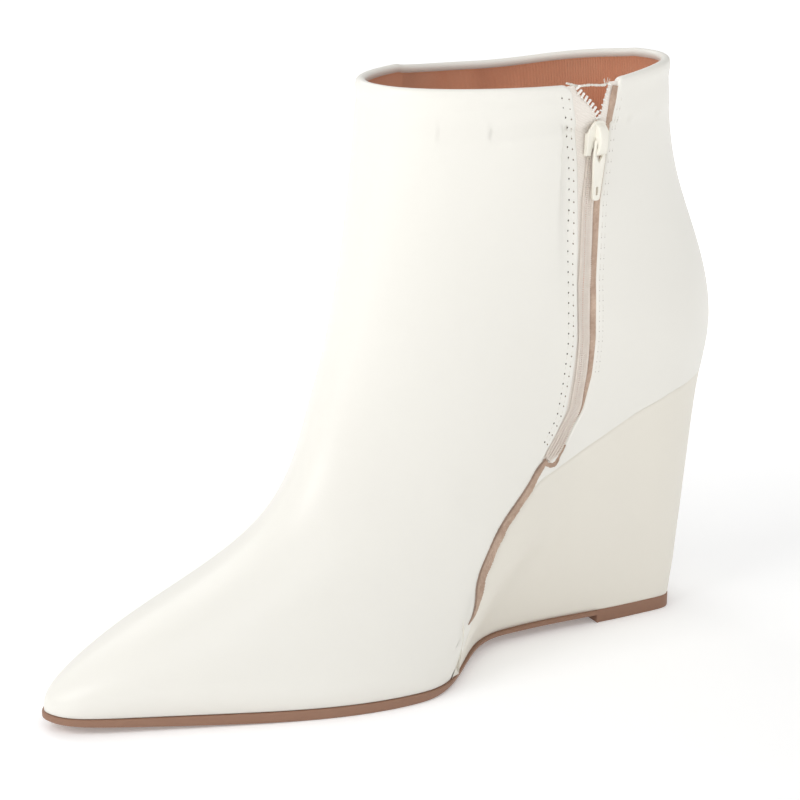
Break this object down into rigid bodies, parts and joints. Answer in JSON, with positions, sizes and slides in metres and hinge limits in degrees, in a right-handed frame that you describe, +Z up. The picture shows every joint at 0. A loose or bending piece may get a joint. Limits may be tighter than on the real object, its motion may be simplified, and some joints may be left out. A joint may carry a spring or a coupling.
{
  "type": "heeled ankle boot",
  "caption": "Pointed-toe wedge-heel ankle boot in ivory leather with an open side zip at the collar, knit lining and thin brown sole, worn on the right foot.",
  "frame": {"origin": "centre of the heel tread's resting face", "axes": "+X towards the toe, +Y towards the inner (medial) side, +Z up"},
  "size_m": [0.249, 0.0869, 0.1959],
  "materials": {
    "upper": "smooth ivory",
    "wedge_heel": "smooth ivory cover",
    "outsole": "satin brown",
    "top_lift": "satin brown",
    "insole": "salmon",
    "zip_tape": "woven cream",
    "zip_teeth": "cream coil",
    "zip_slider": "cream enamel"
  },
  "bodies": {
    "boot": {"upper": "upper", "wedge_heel": "wedge_heel", "outsole": "outsole", "top_lift": "top_lift", "insole": "insole", "zip_tape_front": "zip_tape", "zip_tape_rear": "zip_tape", "zip_chain": "zip_teeth", "zip_teeth_front": "zip_teeth", "zip_teeth_rear": "zip_teeth", "zip_slider": "zip_slider"},
    "pull": {"zip_pull": "zip_slider"}
  },
  "joints": [
    {"name": "pull_hinge", "type": "hinge", "parent": "boot", "child": "pull", "pos_m": [0.03268, 0.03483, 0.17458], "axis": [0.9937, 0.1123, 0], "range_deg": [0, 150]}
  ]
}
